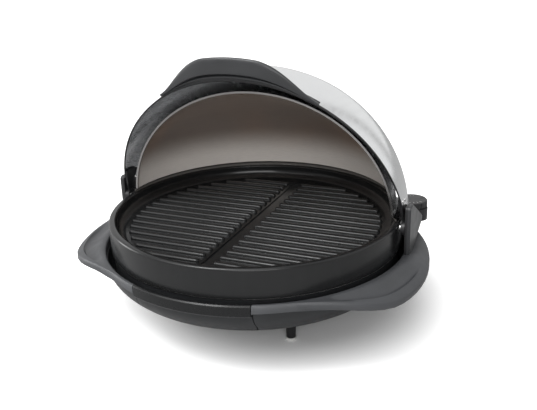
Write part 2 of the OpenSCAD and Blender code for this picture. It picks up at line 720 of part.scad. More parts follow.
module controller_dial() {
    z0 = element_z + ctrl_h / 2 + gap;
    color([0.12, 0.12, 0.13]) at_controller() translate([dial_pos, 0, z0]) difference() {
        union() {
            cylinder(r = dial_r, h = dial_h - 1.2, $fn = 96);
            translate([0, 0, dial_h - 1.2]) cylinder(r1 = dial_r, r2 = dial_r - 1.2, h = 1.2, $fn = 96);
        }
        for (a = [0 : 30 : 330]) rotate([0, 0, a + 15]) translate([dial_r + 0.8, 0, -1])
            cylinder(r = 1.8, h = dial_h + 2, $fn = 16);
        translate([dial_r - 9, -0.9, dial_h - 0.6]) cube([7, 1.8, 1]);
        translate([0, 0, -1]) cylinder(r = 2.98, h = 5);
    }
}
module dial_spindle() {
    color([0.75, 0.75, 0.75]) at_controller() translate([dial_pos, 0, element_z + ctrl_h / 2 - 4.9])
        cylinder(r = 3, h = 4.9 + gap + 3.9);
}
module controller_probe() {
    color([0.80, 0.80, 0.79]) at_controller() {
        along_x(element_r + 14, 0, element_z, probe_r, pan_r + 14 - element_r - 14 - 0.1);
        translate([element_r + 14, 0, element_z]) sphere(r = probe_r);
    }
}
module indicator_lens() {
    color([0.6, 0.08, 0.06]) at_controller() translate([pan_r + 12.2, -ctrl_x - 1.5, element_z + 2.2])
        cube([5.6, 3.4, 2.6]);
}
module inlet_pins() {
    color([0.85, 0.80, 0.60]) at_controller() for (p = [[-6, -1.5], [6, -1.5], [0, 2.5]])
        along_x(pan_r + 6 + ctrl_l - inlet_d, p[0], element_z + p[1], 1.6, inlet_d - 3);
}

grill_pan();
heating_element();
element_clips();
terminal_guard();
heat_reflector();
base_bowl();
legs();
base_rim();
reflector_spacers();
spacer_screws();
foot_pads();
drawer_rails();
drawer_front();
drip_tray();
rear_shell();
rear_shell_brackets();
bracket_screws();
front_shell();
shell_edge_trim();
lid_handle();
handle_screws();
hinge_arm_left();
hinge_arm_right();
arm_rivets();
hinge_pins();
hinge_post_left();
hinge_post_right();
post_cover_left();
post_cover_right();
post_screws();
controller_housing();
controller_dial();
dial_spindle();
controller_probe();
indicator_lens();
inlet_pins();
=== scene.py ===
import json
import math

import bmesh
import bpy
from mathutils import Matrix, Vector


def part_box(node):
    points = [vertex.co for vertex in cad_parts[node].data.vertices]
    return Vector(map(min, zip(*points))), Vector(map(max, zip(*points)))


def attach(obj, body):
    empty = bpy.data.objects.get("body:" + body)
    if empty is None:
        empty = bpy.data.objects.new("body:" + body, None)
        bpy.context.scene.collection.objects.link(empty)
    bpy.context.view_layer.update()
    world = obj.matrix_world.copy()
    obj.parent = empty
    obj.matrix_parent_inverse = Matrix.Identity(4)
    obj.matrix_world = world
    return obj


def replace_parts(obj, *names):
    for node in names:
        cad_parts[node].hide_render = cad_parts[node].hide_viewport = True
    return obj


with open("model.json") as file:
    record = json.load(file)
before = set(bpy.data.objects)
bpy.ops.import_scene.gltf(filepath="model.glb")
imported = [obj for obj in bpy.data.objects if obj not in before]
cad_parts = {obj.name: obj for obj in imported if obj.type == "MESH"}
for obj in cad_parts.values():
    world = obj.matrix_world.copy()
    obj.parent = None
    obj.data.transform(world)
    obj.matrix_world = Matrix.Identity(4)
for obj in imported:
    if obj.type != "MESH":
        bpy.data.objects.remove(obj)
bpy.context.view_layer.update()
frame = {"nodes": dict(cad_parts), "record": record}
NODES = frame["nodes"]
scene = bpy.context.scene
scene.view_settings.view_transform = "Standard"

# Places taken from the solids, in metres and degrees
RIM = 0.148  # top of the pan's rim
HINGE = Vector((0, 0.002, RIM - 0.006))  # on the hinge line, which runs along X
SHELL_A = 0.2084  # front shell's half axis along the hinge line
SHELL_B = 0.1985  # front shell's half axis across it
OPEN_ANGLE = 74  # front edge of the open shell, up from the front
BAND_FOOT = RIM - 0.0535  # lower end of the drawer's dark band
HEM_FRONT = HINGE.y + 0.0012  # front end of the rear shell's plain wall
FLANGE_TOP = RIM + 0.0068  # top of the rear shell's foot flange
# The paler band inside the rear shell is a painted reflection
PALE_FROM, PALE_TO = RIM + 0.020, RIM + 0.072  # paler band inside the rear shell


# Node helpers
class Nodes:
    """Short ways to make and join the nodes of one tree."""

    def __init__(self, tree):
        self.tree = tree
        tree.nodes.clear()

    def add(self, kind, **values):
        node = self.tree.nodes.new(kind)
        for key, value in values.items():
            setattr(node, key, value)
        return node

    def fill(self, socket, value):
        """Link a socket, or set its number, vector or colour."""
        if hasattr(value, "is_linked"):
            self.tree.links.new(value, socket)
        elif isinstance(value, tuple) and socket.type == "RGBA":
            socket.default_value = (*value, 1)
        else:
            socket.default_value = value

    def math(self, operation, a, b=0.0, clamp=False):
        node = self.add("ShaderNodeMath", operation=operation, use_clamp=clamp)
        self.fill(node.inputs[0], a)
        self.fill(node.inputs[1], b)
        return node.outputs[0]

    def vector_math(self, operation, a, b, result):
        node = self.add("ShaderNodeVectorMath", operation=operation)
        self.fill(node.inputs[0], a)
        self.fill(node.inputs[1], b)
        return node.outputs[result]

    def split(self, vector):
        node = self.add("ShaderNodeSeparateXYZ")
        self.fill(node.inputs[0], vector)
        return {"X": node.outputs[0], "Y": node.outputs[1], "Z": node.outputs[2]}

    def remap(self, value, lo, hi, a=0.0, b=1.0, kind="LINEAR"):
        """lo where the value is a, hi where it is b, and between them in between."""
        node = self.add("ShaderNodeMapRange", interpolation_type=kind)
        for key, number in (("From Min", a), ("From Max", b), ("To Min", lo), ("To Max", hi)):
            node.inputs[key].default_value = number
        self.fill(node.inputs["Value"], value)
        return node.outputs["Result"]


class Graph(Nodes):
    """One material with its shader and object coordinates."""

    def __init__(self, name):
        self.mat = bpy.data.materials.new(name)
        self.mat.use_nodes = True
        super().__init__(self.mat.node_tree)
        out = self.add("ShaderNodeOutputMaterial")
        self.bsdf = self.add("ShaderNodeBsdfPrincipled")
        self.fill(out.inputs["Surface"], self.bsdf.outputs["BSDF"])
        coord = self.add("ShaderNodeTexCoord")
        self.place = coord.outputs["Object"]
        self.normal = coord.outputs["Normal"]

    def noise(self, scale, detail, rough, vector=None):
        node = self.add("ShaderNodeTexNoise")
        node.inputs["Scale"].default_value = scale
        node.inputs["Detail"].default_value = detail
        node.inputs["Roughness"].default_value = rough
        self.fill(node.inputs["Vector"], vector or self.place)
        return node.outputs["Fac"]

    def ramp(self, value, start, end, smooth=False):
        """Colour ramp between two stops, each a position with a grey level or a colour."""
        node = self.add("ShaderNodeValToRGB")
        if smooth:
            node.color_ramp.interpolation = "EASE"
        for element, (position, colour) in zip(node.color_ramp.elements, (start, end)):
            element.position = position
            element.color = (*colour, 1) if isinstance(colour, tuple) else (colour, colour, colour, 1)
        self.fill(node.inputs["Fac"], value)
        return node.outputs["Color"]

    def mix(self, fac, a, b, mode="MIX"):
        node = self.add("ShaderNodeMix", data_type="RGBA", blend_type=mode)
        self.fill(node.inputs[0], fac)
        self.fill(node.inputs[6], a)
        self.fill(node.inputs[7], b)
        return node.outputs[2]

    def bump(self, height, strength, distance, radius):
        """Fine relief on top of edges that are rounded for light alone."""
        bevel = self.add("ShaderNodeBevel", samples=4)
        bevel.inputs["Radius"].default_value = radius
        node = self.add("ShaderNodeBump")
        node.inputs["Strength"].default_value = strength
        node.inputs["Distance"].default_value = distance
        self.fill(node.inputs["Height"], height)
        self.fill(node.inputs["Normal"], bevel.outputs["Normal"])
        self.put("Normal", node.outputs["Normal"])

    def blend(self, a, part, b):
        """part of a with the rest of b, for two relief heights."""
        return self.math("ADD", self.math("MULTIPLY", a, part), self.math("MULTIPLY", b, 1 - part))

    def put(self, socket, value):
        self.fill(self.bsdf.inputs[socket], value)

    def facing_in(self):
        """1 where the surface faces the hinge line's middle, 0 where it faces away from it."""
        from_hinge = self.vector_math("SUBTRACT", self.place, HINGE, 0)
        along = self.vector_math("DOT_PRODUCT", from_hinge, self.normal, "Value")
        return self.math("LESS_THAN", along, 0.0)

    def worn_and_highlit(self, base, colour, amount, low, high):
        """Paler colour along convex edges: partly wear, partly a painted highlight."""
        geometry = self.add("ShaderNodeNewGeometry")
        edge = self.remap(geometry.outputs["Pointiness"], 0, 1, low, high)
        return self.mix(self.math("MULTIPLY", edge, amount), base, colour)


def shade(colour, k):
    return tuple(max(0.0, min(1.0, c * k)) for c in colour)


# Noise textures: scale, detail and roughness
MOULD_FLOW = (14, 3, 0.6)
MOULD_PATCH = (55, 4, 0.65)
STEEL_CLOUD = (9, 3, 0.55)
HEAT_CLOUD = (4.5, 2, 0.5)
PAN_PEEL = (420, 2, 0.55)
PAN_FLECK = (2600, 1, 0.5)
PAN_CLOUD = (18, 4, 0.6)
PAN_GLOSS = (40, 2, 0.5)
LENS_TINT = (300, 2, 0.5)
LENS_GLOSS = (120, 2, 0.5)
LENS_RIPPLE = (500, 1, 0.5)
FLOOR_CLOUD = (3, 2, 0.5)

# Middle part of a noise's range, over which it is spread
LOW, HIGH = 0.3, 0.7


def moulded(name, colour, rough, grain=900, depth=0.00006, wear_and_highlight=0.0, blotch=0.10, specular=0.5,
            radius=0.0005, band=None):
    """Moulded plastic or rubber: fine grain, faint mould flow, rounded edges that catch light, paler
    convex edges that are partly wear and partly a painted highlight.

    Above the height given as band it is darker and glossier.
    """
    g = Graph(name)
    flow = g.noise(*MOULD_FLOW)
    fine = g.noise(grain, 2, 0.6)
    patch = g.noise(*MOULD_PATCH)
    base = g.ramp(flow, (LOW, shade(colour, 1 - blotch)), (HIGH, shade(colour, 1 + blotch)))
    base = g.mix(0.5, base, g.ramp(fine, (0.35, 0.88), (0.65, 1.0)), "MULTIPLY")
    # Paler convex edges: partly wear, partly a painted highlight
    if wear_and_highlight:
        base = g.worn_and_highlit(base, shade(colour, 2.2), wear_and_highlight, 0.52, 0.62)
    roughness = g.remap(patch, rough - 0.06, rough + 0.07, LOW, HIGH)
    if band:
        above = g.math("GREATER_THAN", g.split(g.place)["Z"], band)
        base = g.mix(g.math("MULTIPLY", above, 0.62), base, (0.002, 0.002, 0.002))
        roughness = g.math("SUBTRACT", roughness, g.math("MULTIPLY", above, 0.12))
    g.put("Base Color", base)
    g.put("Roughness", roughness)
    g.put("Specular IOR Level", specular)
    g.bump(g.blend(fine, 0.7, g.noise(grain * 0.23, 2, 0.5)), 0.45, depth, radius)
    return g.mat


def polar(g, plane, centre):
    """Coordinates that run along circles, so that stretched noise draws brush lines round an axis."""
    stretch = 0.012
    parts = g.split(g.place)
    a = g.math("SUBTRACT", parts[plane[0]], centre["XYZ".index(plane[0])])
    b = g.math("SUBTRACT", parts[plane[1]], centre["XYZ".index(plane[1])])
    angle = g.math("ARCTAN2", b, a)
    radius = g.math("SQRT", g.math("ADD", g.math("MULTIPLY", a, a), g.math("MULTIPLY", b, b)))
    join = g.add("ShaderNodeCombineXYZ")
    g.fill(join.inputs[0], g.math("MULTIPLY", angle, stretch))
    g.fill(join.inputs[1], radius)
    g.fill(join.inputs[2], parts[plane[2]])
    return join.outputs[0], parts


def heat_tint_and_painted_band(g, parts, mask):
    """Inside of the rear shell: warm grey steel, tinted by heat, with a paler, duller band above the pan
    that is a painted reflection.
    """
    dull, duller = 0.5, 0.32
    cloud = g.ramp(g.noise(*HEAT_CLOUD), (0.40, 0.0), (0.68, 0.85), True)
    base = g.mix(cloud, (0.41, 0.34, 0.30), (0.60, 0.38, 0.265))
    # Pale colour from the foot flange up to the band's top: a painted reflection
    low = g.ramp(g.remap(parts["Z"], 0, 1, PALE_FROM, PALE_TO), (0.0, 1.0), (1.0, 0.0), True)
    matt = g.math("ADD", g.math("MULTIPLY", low, duller), dull)
    metallic = g.math("SUBTRACT", 1.0, g.math("MULTIPLY", mask, matt))
    return g.mix(low, base, (0.99, 0.93, 0.87)), metallic


def hem_and_foot_painted_shade(g, parts, base):
    """Rear shell's hem and foot flange, darkened: painted shade over their lit edges."""
    hem = g.math("LESS_THAN", parts["Y"], HEM_FRONT)
    foot = g.math("LESS_THAN", parts["Z"], FLANGE_TOP)
    # Painted shade on the hem and on the foot flange
    base = g.mix(g.math("MULTIPLY", hem, 0.62), base, (0.10, 0.08, 0.07))
    return g.mix(g.math("MULTIPLY", foot, 0.85), base, (0.03, 0.028, 0.027))


def metal(name, colour, rough, brush, plane="XYZ", centre=(0, 0, 0), axis="Z", anisotropy=0.2,
          smear=0.08, streaks=0.10, tint=None, inner_colour=None, inner_rough=None, rear=False):
    """Brushed sheet or turned metal, with brush lines round an axis and faint smears.

    A shell has another finish on the side that faces the hinge.
    """
    g = Graph(name)
    metallic = 1.0
    vector, parts = polar(g, plane, centre)
    lines = g.noise(brush, 2, 0.75, vector)
    broad = g.noise(brush * 0.12, 2, 0.6, vector)
    cloud = g.noise(*STEEL_CLOUD)
    base = g.ramp(cloud, (0.25, shade(colour, 1 - smear)), (0.75, shade(colour, 1 + smear * 0.6)))
    roughness = g.math("ADD", g.remap(broad, rough - 0.05, rough + 0.06, LOW, HIGH),
                       g.remap(lines, -0.05, 0.05, 0.2, 0.8))
    if tint:
        base = g.mix(g.ramp(g.noise(*HEAT_CLOUD), (0.42, 0.0), (0.7, 0.8)), base, tint)
    if inner_rough:
        mask = g.facing_in()
        if rear:
            inner_colour, metallic = heat_tint_and_painted_band(g, parts, mask)
        base = g.mix(mask, base, inner_colour)
        roughness = g.math("ADD", roughness, g.math("MULTIPLY", mask, inner_rough - rough))
    if rear:
        base = hem_and_foot_painted_shade(g, parts, base)
    streak = g.ramp(lines, (0.25, 1 - streaks), (0.75, 1.0))
    g.put("Base Color", g.mix(0.9, base, streak, "MULTIPLY"))
    g.put("Metallic", metallic)
    g.put("Roughness", roughness)
    g.put("Anisotropic", anisotropy)
    g.put("Tangent", g.add("ShaderNodeTangent", direction_type="RADIAL", axis=axis).outputs[0])
    g.bump(lines, 0.2, 0.00002, 0.0004)
    return g.mat


def non_stick(name, colour):
    """Sprayed non-stick coating on a casting: orange peel, faint flecks, paler rib tops and edges that
    are partly rubbed wear and partly a painted highlight.
    """
    g = Graph(name)
    peel = g.noise(*PAN_PEEL)
    fleck = g.noise(*PAN_FLECK)
    base = g.ramp(g.noise(*PAN_CLOUD), (LOW, shade(colour, 0.92)), (HIGH, shade(colour, 1.08)))
    base = g.mix(g.ramp(fleck, (0.70, 0.0), (0.82, 0.16)), base, shade(colour, 2.0))
    # Paler rib tops and edges: partly rubbed wear, partly a painted highlight
    base = g.worn_and_highlit(base, shade(colour, 2.4), 0.25, 0.53, 0.62)
    g.put("Base Color", base)
    g.put("Roughness", g.remap(g.noise(*PAN_GLOSS), 0.19, 0.25, LOW, HIGH))
    g.put("Specular IOR Level", 0.38)
    g.bump(g.blend(peel, 0.85, fleck), 0.12, 0.00003, 0.0009)
    return g.mat


def glossy_lens(name, colour):
    """Clear coloured plastic of the indicator lamp."""
    g = Graph(name)
    tint = g.ramp(g.noise(*LENS_TINT), (LOW, shade(colour, 0.8)), (HIGH, shade(colour, 1.2)))
    g.put("Base Color", tint)
    g.put("Roughness", g.remap(g.noise(*LENS_GLOSS), 0.10, 0.2))
    g.put("Transmission Weight", 0.35)
    g.put("Coat Weight", 0.6)
    g.bump(g.noise(*LENS_RIPPLE), 0.2, 0.00004, 0.0003)
    return g.mat


MAT = {
    "cast_pan": non_stick("cast_pan", (0.0105, 0.0108, 0.0112)),
    "shell_outer": metal("shell_outer", (0.93, 0.94, 0.945), 0.18, 1500, "YZX", HINGE, "X", 0.5,
                         smear=0.05, streaks=0.05, inner_colour=(0.92, 0.93, 0.95),
                         inner_rough=0.22),
    "shell_inner": metal("shell_inner", (0.90, 0.90, 0.90), 0.22, 1300, centre=(0, HINGE.y, 0),
                         anisotropy=0.55, smear=0.10, streaks=0.14, inner_rough=0.37, rear=True),
    "grey_plastic": moulded("grey_plastic", (0.046, 0.048, 0.052), 0.42, wear_and_highlight=0.2),
    # Darker copies of the grey plastic for the bowl and the drawer front under the rim: painted shade
    "bowl_plastic_shaded": moulded("bowl_plastic_shaded", (0.019, 0.020, 0.0215), 0.38, wear_and_highlight=0.2, specular=0.35,
                            radius=0.0009),
    "drawer_plastic_shaded": moulded("drawer_plastic_shaded", (0.017, 0.018, 0.0195), 0.38, wear_and_highlight=0.2,
                              specular=0.33, radius=0.0009, band=BAND_FOOT),
    "handle_plastic": moulded("handle_plastic", (0.030, 0.031, 0.033), 0.36, wear_and_highlight=0.2,
                              radius=0.0008),
    "black_plastic": moulded("black_plastic", (0.012, 0.012, 0.013), 0.38, wear_and_highlight=0.15),
    "cover_grey": moulded("cover_grey", (0.034, 0.035, 0.037), 0.34, grain=1300, depth=0.00003),
    "bright_steel": metal("bright_steel", (0.78, 0.78, 0.77), 0.18, 3000, smear=0.05),
    "sheet_aluminium": metal("sheet_aluminium", (0.66, 0.66, 0.65), 0.36, 1900, anisotropy=0.4),
    "element_steel": metal("element_steel", (0.20, 0.18, 0.17), 0.45, 1500, smear=0.25,
                           tint=(0.25, 0.17, 0.11)),
    "foot_rubber": moulded("foot_rubber", (0.62, 0.62, 0.60), 0.55, grain=1600, blotch=0.04),
    "lens_red": glossy_lens("lens_red", (0.55, 0.03, 0.02)),
    "pin_brass": metal("pin_brass", (0.74, 0.66, 0.46), 0.25, 2000),
    "print_white": moulded("print_white", (0.72, 0.72, 0.71), 0.5, grain=2500, depth=0.00001,
                           blotch=0.03),
}

# Solids given darker copies of their slot's plastic, a painted shade, and edges smoothed up to another
# angle
SHADED_FINISH = {"base_bowl": "bowl_plastic_shaded", "drawer_front": "drawer_plastic_shaded"}
SMOOTH_BELOW = 30
SMOOTH_ANGLE = {"base_rim": 55, "base_bowl": 24, "rear_shell": 24, "front_shell": 20,
                "shell_edge_trim": 20}


def smoothing_group():
    """Geometry nodes that weld split points and smooth all edges flatter than an angle."""
    tree = bpy.data.node_groups.new("weld_and_smooth", "GeometryNodeTree")
    tree.interface.new_socket("Geometry", in_out="INPUT", socket_type="NodeSocketGeometry")
    limit = tree.interface.new_socket("Angle", in_out="INPUT", socket_type="NodeSocketFloat")
    tree.interface.new_socket("Geometry", in_out="OUTPUT", socket_type="NodeSocketGeometry")
    g = Nodes(tree)
    source = g.add("NodeGroupInput")
    sink = g.add("NodeGroupOutput")
    drop = g.add("GeometryNodeRemoveAttribute")
    drop.inputs["Name"].default_value = "custom_normal"
    weld = g.add("GeometryNodeMergeByDistance")
    weld.inputs["Distance"].default_value = 2e-6
    angle = g.add("GeometryNodeInputMeshEdgeAngle")
    less = g.add("FunctionNodeCompare", data_type="FLOAT", operation="LESS_THAN")
    face = g.add("GeometryNodeSetShadeSmooth", domain="FACE")
    edge = g.add("GeometryNodeSetShadeSmooth", domain="EDGE")
    g.fill(drop.inputs["Geometry"], source.outputs["Geometry"])
    g.fill(weld.inputs["Geometry"], drop.outputs["Geometry"])
    g.fill(face.inputs[0], weld.outputs["Geometry"])
    g.fill(face.inputs["Shade Smooth"], True)
    g.fill(edge.inputs[0], face.outputs[0])
    g.fill(less.inputs[0], angle.outputs["Unsigned Angle"])
    g.fill(less.inputs[1], source.outputs["Angle"])
    g.fill(edge.inputs["Shade Smooth"], less.outputs[0])
    g.fill(sink.inputs[0], edge.outputs[0])
    return tree, limit.identifier


GROUP, ANGLE_ID = smoothing_group()


def soften(obj, degrees):
    modifier = obj.modifiers.new("weld_and_smooth", "NODES")
    modifier.node_group = GROUP
    modifier[ANGLE_ID] = math.radians(degrees)


slot_of = {s["node"]: s["material_slot"] for s in frame["record"]["subparts"]}
for name, obj in NODES.items():
    obj.data.materials.clear()
    obj.data.materials.append(MAT[SHADED_FINISH.get(name, slot_of[name])])
    soften(obj, SMOOTH_ANGLE.get(name, SMOOTH_BELOW))


# Pieces made here
def finish_mesh(name, bm, slot, body, smooth=SMOOTH_BELOW, finish=None):
    mesh = bpy.data.meshes.new(name)
    bm.to_mesh(mesh)
    bm.free()
    obj = bpy.data.objects.new(name, mesh)
    scene.collection.objects.link(obj)
    mesh.materials.append(MAT[finish or slot])
    soften(obj, smooth)
    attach(obj, body)
    return obj


def axes_for(direction):
    z = Vector(direction).normalized()
    x = z.orthogonal().normalized()
    return x, z.cross(x), z


def unit(degrees):
    t = math.radians(degrees)
    return math.cos(t), math.sin(t)


def clamped(value):
    return max(0.0, min(1.0, value))


def cross_head(bm, place, direction, r, h, sink=0.0006):
    """Pan-head screw with a cross recess, as one height field over a disc plus its side."""
    around, rows = 48, 14
    arm, wide = 0.62 * r, 0.15 * r
    x, y, z = axes_for(direction)
    place = Vector(place)

    def height(px, py):
        q = math.hypot(px, py) / r
        dome = h * (1 - 0.42 * q * q - 0.38 * q ** 8)
        inside = clamped(1.6 * (wide - min(abs(px), abs(py))) / wide)
        reach = clamped(5.0 * (arm - max(abs(px), abs(py))) / arm)
        return dome - sink * min(inside, reach)

    rings = [[bm.verts.new(place + z * height(0, 0))]]
    for k in range(1, rows + 1):
        rr = r * k / rows
        ring = []
        for i in range(around):
            t = 2 * math.pi * (i + 0.5) / around
            px, py = rr * math.cos(t), rr * math.sin(t)
            ring.append(bm.verts.new(place + x * px + y * py + z * height(px, py)))
        rings.append(ring)
    rings.append([bm.verts.new(v.co - z * (v.co - place).dot(z)) for v in rings[-1]])
    for lower, upper in zip(rings, rings[1:]):
        for i in range(around):
            j = (i + 1) % around
            if len(lower) == 1:
                bm.faces.new((lower[0], upper[i], upper[j]))
            else:
                bm.faces.new((lower[i], upper[i], upper[j], lower[j]))
    bm.faces.new(list(reversed(rings[-1])))


def dome_head(bm, place, direction, r, h, sunk=0.0002):
    """Rivet head: a closed dome that starts a little below the surface."""
    around, rows = 40, 7
    x, y, z = axes_for(direction)
    profile = [(r, -sunk)]
    for k in range(rows, 0, -1):
        t = math.pi / 2 * k / rows
        profile.append((r * math.sin(t), h * math.cos(t)))
    foot = bm.verts.new(place + z * -sunk)
    rings = []
    for radius, rise in profile:
        ring = []
        for i in range(around):
            t = 2 * math.pi * i / around
            out = (x * math.cos(t) + y * math.sin(t)) * radius
            ring.append(bm.verts.new(place + z * rise + out))
        rings.append(ring)
    top = bm.verts.new(place + z * h)
    for i in range(around):
        j = (i + 1) % around
        bm.faces.new((foot, rings[0][j], rings[0][i]))
        for lower, upper in zip(rings, rings[1:]):
            bm.faces.new((lower[i], lower[j], upper[j], upper[i]))
        bm.faces.new((rings[-1][i], rings[-1][j], top))


def on_shell(t, from_front, out=0.0):
    """Point and outward normal on the open front shell, as the solids place them."""
    ca, sa = unit(from_front)
    ct, st = unit(t)
    nx, nr = SHELL_B * st, SHELL_A * ct
    k = math.hypot(nx, nr)
    normal = Vector((nx / k, -ca * nr / k, sa * nr / k))
    return HINGE + Vector((SHELL_A * st, -ca * SHELL_B * ct, sa * SHELL_B * ct)) + normal * out, normal


# Screw and rivet heads: radius, height and for some the depth of the cross, then their places
SIDES = (1, -1)
POST_HEAD = (0.0026, 0.0014)
POST_FACE = 0.209
POST_SCREWS = ((0.020, -0.024), (0.006, -0.027))
BRACKET_HEAD = (0.003, 0.0014)
BRACKET_SCREW = (0.2045, 0.0225, RIM + 0.0028)
SPACER_HEAD = (0.004, 0.0018, 0.0009)
SPACER_ANGLES = (60, 180, 300)
SPACER_CIRCLE = 0.06
SPACER_FOOT = RIM - 0.109
HANDLE_HEAD = (0.0034, 0.0015, 0.0007)
HANDLE_ANGLES = (-16, 0, 16)
HANDLE_SCREW_LINE = 78
SHELL_INNER_FACE = -0.0013
RIVET_HEAD = (0.0026, 0.0012)
RIVET_ANGLES = (12, 30)
RIVET_CIRCLE = 0.037
ARM_FACE = 0.0002


def fasteners():
    bm = bmesh.new()
    for side in SIDES:
        for y, z in POST_SCREWS:
            cross_head(bm, HINGE + Vector((side * POST_FACE, y, z)), (-side, 0, 0), *POST_HEAD)
    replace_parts(finish_mesh("post_screw_heads", bm, "bright_steel", "base"), "post_screws")
    bm = bmesh.new()
    for side in SIDES:
        x, y, z = BRACKET_SCREW
        cross_head(bm, (side * x, y, z), (0, 0, 1), *BRACKET_HEAD)
    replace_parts(finish_mesh("bracket_screw_heads", bm, "bright_steel", "base"), "bracket_screws")
    bm = bmesh.new()
    for angle in SPACER_ANGLES:
        x, y = unit(angle)
        place = (SPACER_CIRCLE * x, SPACER_CIRCLE * y, SPACER_FOOT)
        cross_head(bm, place, (0, 0, -1), *SPACER_HEAD)
    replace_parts(finish_mesh("spacer_screw_heads", bm, "bright_steel", "base"), "spacer_screws")
    bm = bmesh.new()
    for angle in HANDLE_ANGLES:
        place, normal = on_shell(angle, HANDLE_SCREW_LINE, SHELL_INNER_FACE)
        cross_head(bm, place, -normal, *HANDLE_HEAD)
    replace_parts(finish_mesh("handle_screw_heads", bm, "bright_steel", "lid"), "handle_screws")
    bm = bmesh.new()
    s = RIVET_CIRCLE
    x = SHELL_A * math.sqrt(1 - (s / SHELL_B) ** 2)
    nx, ns = x / SHELL_A ** 2, s / SHELL_B ** 2
    k = math.hypot(nx, ns)
    for side in SIDES:
        for angle in RIVET_ANGLES:
            ca, sa = unit(OPEN_ANGLE + angle)
            place = HINGE + Vector((side * (x + ARM_FACE), -ca * s, sa * s))
            normal = Vector((side * nx / k, -ca * ns / k, sa * ns / k))
            dome_head(bm, place, normal, *RIVET_HEAD)
    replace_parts(finish_mesh("arm_rivet_heads", bm, "bright_steel", "lid"), "arm_rivets")


# Section of the handle in mm: out of the shell, forwards past its edge
GRIP = [(0.4, -12), (1.6, -13), (4.5, -11.5), (11, -7.4), (19, -3.6), (26, -0.8), (30.6, 1.0),
        (32.6, 2.8), (33, 4.6), (32.4, 6.2), (29.6, 7.9), (25, 9.2), (20, 10), (16, 10.5),
        (14, 10.5), (13.1, 9.9), (12.6, 8.4), (12.1, 5.4), (11.5, 3.0), (10.7, 2.6), (10, 3.6),
        (9.2, 6.0), (8.4, 7.0), (7.4, 7.2), (6.4, 6.9), (5.8, 6.0), (5.1, 3.2), (4.2, 1.1),
        (3.2, 0.6), (0.4, 0.6)]
GRIP_SPAN = 31.0  # half its length, in degrees round the shell
GRIP_STEPS = 110
GRIP_SEAT = 0.4  # where it meets the shell, mm out
GRIP_HOOD = 4.5  # mm out, beyond which the section thins fully towards the ends
GRIP_LEDGE = 1.2  # mm forwards, beyond which it draws back towards the ends
GRIP_FLAT = -2  # mm forwards, from where up to the ledge it keeps its place
THICK_TO = 0.26  # share of the half length that keeps the full section
THIN = 0.13  # share of the section that is left at the tips


def ease(x, a, b):
    u = clamped((x - a) / (b - a))
    return u * u * (3 - 2 * u)


def smooth_loop(points, steps):
    """Closed curve through the points."""
    out = []
    n = len(points)
    for i in range(n):
        p = [Vector(points[(i + k) % n]) for k in (-1, 0, 1, 2)]
        for j in range(steps):
            u = j / steps
            slope = (p[2] - p[0]) * u
            square = (2 * p[0] - 5 * p[1] + 4 * p[2] - p[3]) * u * u
            cube = (3 * p[1] - p[0] - 3 * p[2] + p[3]) * u ** 3
            out.append(0.5 * (2 * p[1] + slope + square + cube))
    return out


def drawn_in(out, ahead, k):
    """Section point of the handle where its hood and lip are drawn in to the share k."""
    n = GRIP_SEAT + (out - GRIP_SEAT) * (k if out > GRIP_HOOD else max(k, 0.5))
    if ahead > GRIP_LEDGE:
        return n, GRIP_LEDGE + (ahead - GRIP_LEDGE) * k
    if ahead > GRIP_FLAT:
        return n, ahead
    return n, ahead * (0.5 + 0.5 * k)


def handle():
    """Lid handle: hood, finger recess and lip, drawn down to a thin tail at both ends."""
    bm = bmesh.new()
    section = smooth_loop(GRIP, 3)
    ca, sa = unit(OPEN_ANGLE)
    forward = Vector((0, -sa, -ca))
    rings = []
    for i in range(GRIP_STEPS + 1):
        u = -1 + 2 * i / GRIP_STEPS
        k = THIN + (1 - THIN) * (1 - ease(abs(u), THICK_TO, 1))
        ring = []
        for out, ahead in section:
            n, f = drawn_in(out, ahead, k)
            place = on_shell(GRIP_SPAN * u, OPEN_ANGLE, n / 1000)[0]
            ring.append(bm.verts.new(place + forward * f / 1000))
        rings.append(ring)
    m = len(section)
    for lower, upper in zip(rings, rings[1:]):
        for i in range(m):
            j = (i + 1) % m
            bm.faces.new((lower[i], upper[i], upper[j], lower[j]))
    bm.faces.new(rings[0])
    bm.faces.new(list(reversed(rings[-1])))
    bmesh.ops.recalc_face_normals(bm, faces=bm.faces)
    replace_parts(finish_mesh("lid_grip", bm, "grey_plastic", "lid", 50, "handle_plastic"), "lid_handle")


# Ticks on the dial: how many, degrees, distances from its middle, growth from tick to tick, half
# width, share of it at the outer end, height above the dial and depth in it
TICKS = 13
FIRST_TICK = 92
TICK_STEP = 20
TICK_IN = 0.0135
TICK_OUT = 0.0145
TICK_GROWTH = 0.0003
TICK_HALF = 0.00035
TICK_TAPER = 0.9
INK = 0.00012
INK_SUNK = 0.00002


def dial_marks():
    """Plain ring of ticks on the dial that grow with the heat setting."""
    low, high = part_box("controller_dial")
    middle = Vector(((low.x + high.x) / 2, (low.y + high.y) / 2, high.z - INK_SUNK))
    bm = bmesh.new()
    for k in range(TICKS):
        c, s = unit(FIRST_TICK + k * TICK_STEP)
        d, e = Vector((c, s, 0)), Vector((-s, c, 0))
        near, far = middle + d * TICK_IN, middle + d * (TICK_OUT + TICK_GROWTH * k)
        wide, slim = e * TICK_HALF, e * TICK_HALF * TICK_TAPER
        ring = [near + wide, near - wide, far - slim, far + slim]
        bottom = [bm.verts.new(p) for p in ring]
        upper = [bm.verts.new(p + Vector((0, 0, INK))) for p in ring]
        bm.faces.new(upper)
        bm.faces.new(list(reversed(bottom)))
        for i in range(4):
            j = (i + 1) % 4
            bm.faces.new((bottom[i], bottom[j], upper[j], upper[i]))
    finish_mesh("dial_marks", bm, "cover_grey", "dial", finish="print_white")


fasteners()
handle()
dial_marks()

# Camera fitted to the photograph: degrees, metres and pixels
BEARING = 23.21
LOOK_DOWN = 20.46
ROLL = -1.86
CAMERA_PLACE = Vector((0.3856, -0.8541, 0.3515 + RIM))
FOCAL_PIXELS = 723.13
IMAGE_WIDTH = 537
SENSOR = 36


